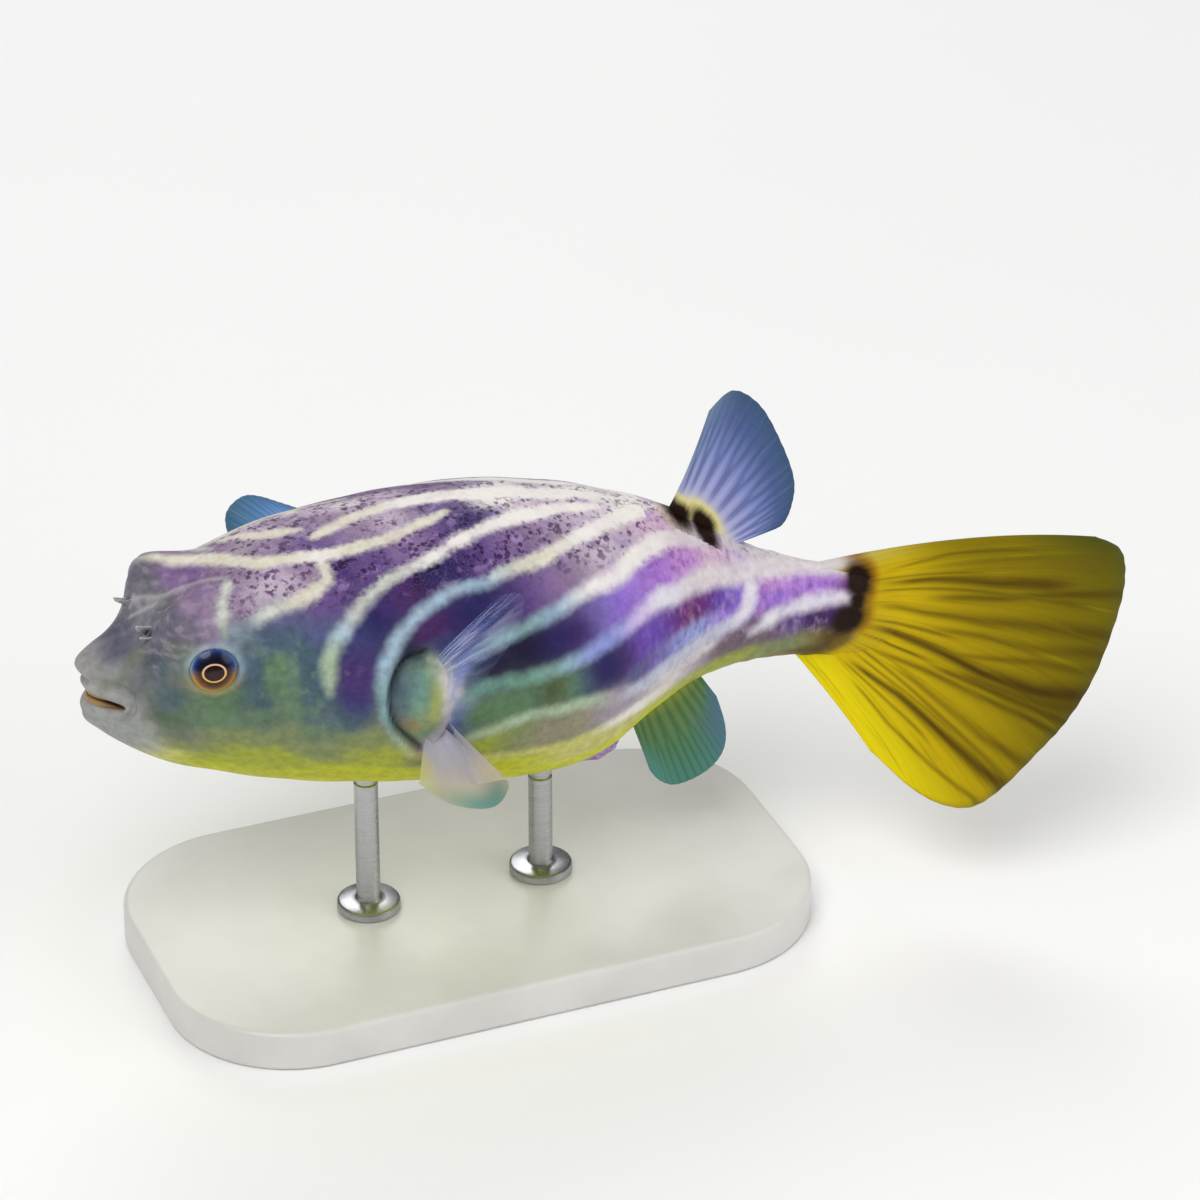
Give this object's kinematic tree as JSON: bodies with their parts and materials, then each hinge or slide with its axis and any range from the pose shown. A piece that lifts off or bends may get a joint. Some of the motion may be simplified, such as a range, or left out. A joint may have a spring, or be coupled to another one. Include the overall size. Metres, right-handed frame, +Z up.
{
  "type": "pufferfish model on a stand",
  "caption": "Life-size still model of a striped freshwater pufferfish, tail swung to its left, held over a flat base by two rods.",
  "frame": {"origin": "middle of the stand's underside, on the surface it stands on, below the fish's balance point", "axes": "+X from the fish's head to its tail, +Y to the fish's right, +Z up"},
  "size_m": [0.2921, 0.1254, 0.1546],
  "materials": {
    "skin": "moist, satin, striped",
    "pale_skin": "moist, satin",
    "eye": "wet gloss",
    "beak": "satin",
    "clear_fin": "moist, satin",
    "blue_fin": "moist, satin",
    "green_fin": "moist, satin",
    "yellow_fin": "moist, satin",
    "stand_base": "satin",
    "stand_rod": "brushed"
  },
  "bodies": {
    "root": {"head": "skin", "trunk": "skin", "tail": "skin", "eye_left": "eye", "eye_right": "eye", "nostril_flap_left": "pale_skin", "nostril_flap_right": "pale_skin", "breast_fin_left": "clear_fin", "breast_fin_right": "clear_fin", "beak_upper": "beak", "beak_lower": "beak", "vent": "pale_skin", "back_fin": "blue_fin", "vent_fin": "green_fin", "tail_fin": "yellow_fin", "stand_base": "stand_base", "stand_rod_front": "stand_rod", "stand_rod_rear": "stand_rod"}
  },
  "joints": []
}
